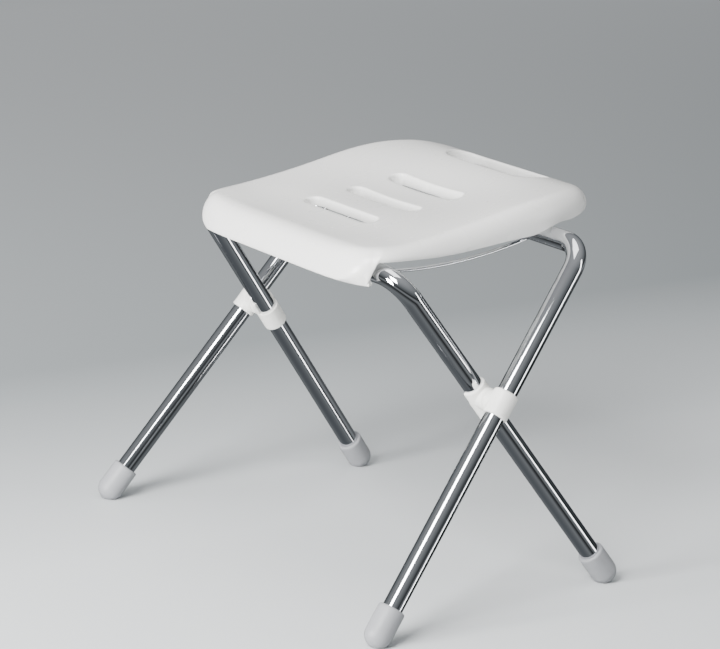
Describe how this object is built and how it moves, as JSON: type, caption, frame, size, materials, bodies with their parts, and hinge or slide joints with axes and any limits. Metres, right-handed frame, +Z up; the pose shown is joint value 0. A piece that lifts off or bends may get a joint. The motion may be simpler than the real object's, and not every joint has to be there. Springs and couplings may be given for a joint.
{
  "type": "folding shower stool",
  "caption": "Folding shower stool: a dished white plastic seat with drain slots and a hand slot on two crossed chromed U-frames with rubber feet.",
  "frame": {"origin": "on the floor, under the middle of the bounding box, with the stool open", "axes": "+X from the rolled front edge to the hand slot, +Y along the crossbars, +Z up"},
  "size_m": [0.3988, 0.5586, 0.4259],
  "materials": {
    "seat_plastic": "glossy",
    "block_plastic": "satin",
    "sleeve_plastic": "satin",
    "tube_chrome": "polished",
    "rail_chrome": "polished",
    "foot_rubber": "matte",
    "screw_steel": "plated",
    "rivet_steel": "plated",
    "washer_steel": "plated"
  },
  "bodies": {
    "inner": {"inner_frame": "tube_chrome", "inner_sleeve_left": "sleeve_plastic", "inner_sleeve_right": "sleeve_plastic", "inner_foot_left": "foot_rubber", "inner_foot_right": "foot_rubber", "inner_foot_washers": "washer_steel"},
    "outer": {"outer_frame": "tube_chrome", "outer_sleeve_left": "sleeve_plastic", "outer_sleeve_right": "sleeve_plastic", "outer_foot_left": "foot_rubber", "outer_foot_right": "foot_rubber", "outer_foot_washers": "washer_steel", "pivot_rivet_left": "rivet_steel", "pivot_rivet_right": "rivet_steel", "pivot_washer_left": "sleeve_plastic", "pivot_washer_right": "sleeve_plastic"},
    "seat": {"seat_shell": "seat_plastic", "hinge_block_left": "block_plastic", "hinge_block_right": "block_plastic", "hinge_cap_left": "block_plastic", "hinge_cap_right": "block_plastic", "hinge_screws": "screw_steel", "rest_block_left": "block_plastic", "rest_block_right": "block_plastic", "rest_screws": "screw_steel", "rail_left": "rail_chrome", "rail_right": "rail_chrome"}
  },
  "joints": [
    {"name": "fold", "type": "hinge", "parent": "inner", "child": "outer", "pos_m": [-0.01831, 0, 0.228], "axis": [0, -1, 0], "range_deg": [0, 45]},
    {"name": "seat_hinge", "type": "hinge", "parent": "inner", "child": "seat", "pos_m": [-0.12104, 0, 0.36093], "axis": [0, -1, 0], "range_deg": [0, 34.2]}
  ],
  "couplings": [
    {"joint": "seat_hinge", "follows": "fold", "ratio": 0.76}
  ]
}
